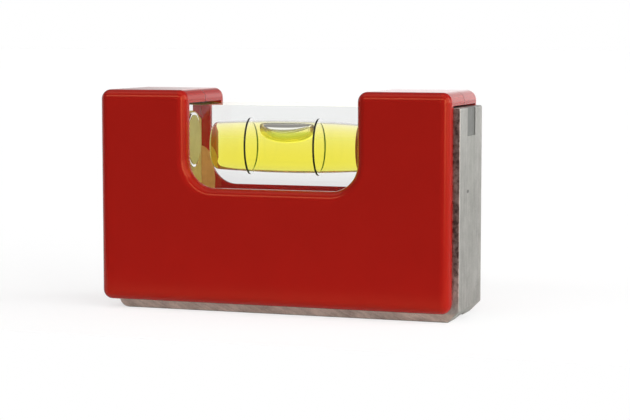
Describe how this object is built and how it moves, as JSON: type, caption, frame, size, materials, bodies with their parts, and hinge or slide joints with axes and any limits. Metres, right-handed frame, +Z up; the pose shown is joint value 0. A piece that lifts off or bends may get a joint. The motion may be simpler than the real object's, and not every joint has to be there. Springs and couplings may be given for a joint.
{
  "type": "magnetic spirit level",
  "caption": "Pocket spirit level: a milled aluminium bar with a V-grooved magnetic base, a clear block vial set in its top notch, and moulded red covers.",
  "frame": {"origin": "on the resting plane, below the middle of the whole level's box", "axes": "+X along the level towards the bare metal end, +Y from the front cover to the rear cover, +Z up"},
  "size_m": [0.0672, 0.02, 0.04],
  "materials": {
    "milled_aluminium": "milled, fine lay, a little worn",
    "red_cover": "satin moulded plastic",
    "clear_acrylic": "clear polished acrylic",
    "yellow_liquid": "clear yellow-green liquid",
    "air_bubble": "air",
    "black_ring": "thin black band",
    "amber_adhesive": "cured amber adhesive",
    "plated_magnet": "nickel plated"
  },
  "bodies": {
    "level": {"aluminium_frame": "milled_aluminium", "front_cover": "red_cover", "rear_cover": "red_cover", "vial_block": "clear_acrylic", "vial_plug": "clear_acrylic", "vial_liquid": "yellow_liquid", "ring_left": "black_ring", "ring_right": "black_ring", "vial_adhesive": "amber_adhesive", "magnet_left": "plated_magnet", "magnet_right": "plated_magnet"},
    "bubble": {"bubble": "air_bubble"}
  },
  "joints": [
    {"name": "bubble_travel", "type": "hinge", "parent": "level", "child": "bubble", "pos_m": [-0.00025, 0, -0.17545], "axis": [0, 1, 0], "range_deg": [-2.12, 1.82], "stiffness_Nm_per_rad": 0.01, "springref_deg": -0.14, "deforming": ["vial_liquid"]}
  ]
}
